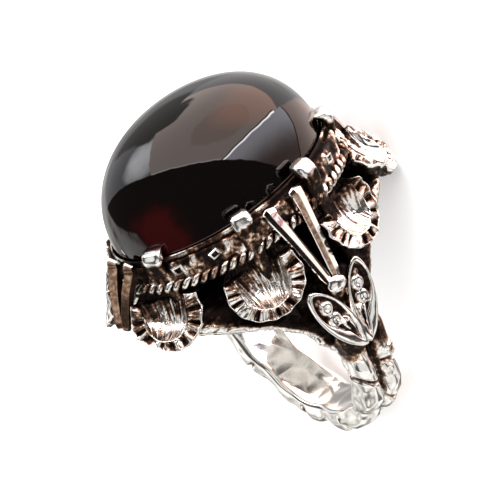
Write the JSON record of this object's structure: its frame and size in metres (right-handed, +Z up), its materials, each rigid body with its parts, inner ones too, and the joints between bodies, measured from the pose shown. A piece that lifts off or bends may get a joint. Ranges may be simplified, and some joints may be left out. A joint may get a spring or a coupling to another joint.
{
  "type": "smoky quartz ring",
  "caption": "Finger ring of darkened silver: a bark-textured shank with leaf shoulders carries a domed oval smoky stone in a bezel with prongs, V bars and shell petals.",
  "frame": {"origin": "on the surface that the ring lies on, under the middle of its box", "axes": "+Z up from that surface, X from shoulder to shoulder, the stone's dome towards +Y; the finger hole runs along Y and Z, 58 degrees up from the surface"},
  "size_m": [0.0226, 0.03, 0.0238],
  "materials": {
    "silver": "polished silver, darkened in its hollows",
    "quartz": "polished dark smoky quartz"
  },
  "bodies": {
    "root": {"silver_mount": "silver", "smoky_quartz": "quartz"}
  },
  "joints": []
}
